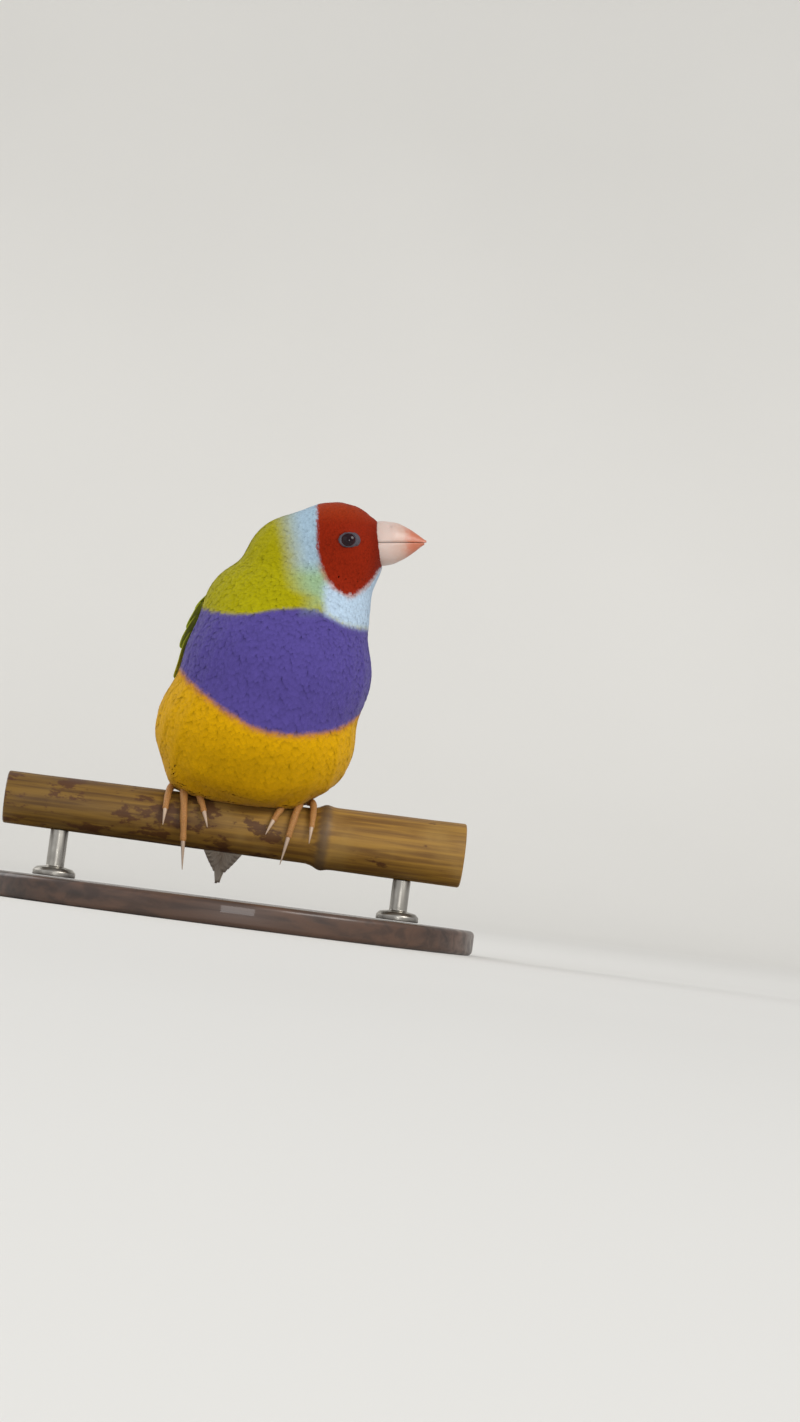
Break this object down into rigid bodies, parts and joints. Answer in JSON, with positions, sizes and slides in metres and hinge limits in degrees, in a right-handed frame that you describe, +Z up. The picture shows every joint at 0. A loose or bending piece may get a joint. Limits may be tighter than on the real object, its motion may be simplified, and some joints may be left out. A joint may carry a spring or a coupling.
{
  "type": "perching finch figure on a stand",
  "caption": "Life-size still male Gouldian finch gripping a short bamboo perch, head turned to its left, on a flat oval display stand with short rods.",
  "frame": {"origin": "centre of the underside of the stand's base", "axes": "+Z up; the perch runs along X; the bird's breast faces -Y and its bill points to +X, its own left"},
  "size_m": [0.124, 0.096, 0.1054],
  "materials": {
    "plumage_mask": "soft, slightly glossy red face feathers",
    "plumage_mantle": "soft lime green and pale blue feathers",
    "plumage_breast": "soft violet breast and golden belly feathers",
    "plumage_rump": "soft pale blue rump and white vent feathers",
    "plumage_wing": "lime green coverts and pale grey flight feathers",
    "plumage_tail": "pale grey tail feathers",
    "bill_horn": "pale pink horn, coral at the tip",
    "eye": "dark, wet and glossy",
    "foot_skin": "fine scales",
    "claw_horn": "pale horn",
    "bamboo": "smooth cane with dark blotches",
    "stand_wood": "satin dark hardwood",
    "stand_metal": "brushed"
  },
  "bodies": {
    "root": {"head": "plumage_mask", "neck": "plumage_mantle", "torso": "plumage_breast", "rump": "plumage_rump", "bill_upper": "bill_horn", "bill_lower": "bill_horn", "eye_left": "eye", "eye_right": "eye", "wing_left": "plumage_wing", "wing_right": "plumage_wing", "tail": "plumage_tail", "leg_left": "foot_skin", "leg_right": "foot_skin", "claw_left_back": "claw_horn", "claw_left_inner": "claw_horn", "claw_left_middle": "claw_horn", "claw_left_outer": "claw_horn", "claw_right_back": "claw_horn", "claw_right_inner": "claw_horn", "claw_right_middle": "claw_horn", "claw_right_outer": "claw_horn", "stand_perch": "bamboo", "stand_rod_left": "stand_metal", "stand_rod_right": "stand_metal", "stand_base": "stand_wood"}
  },
  "joints": []
}
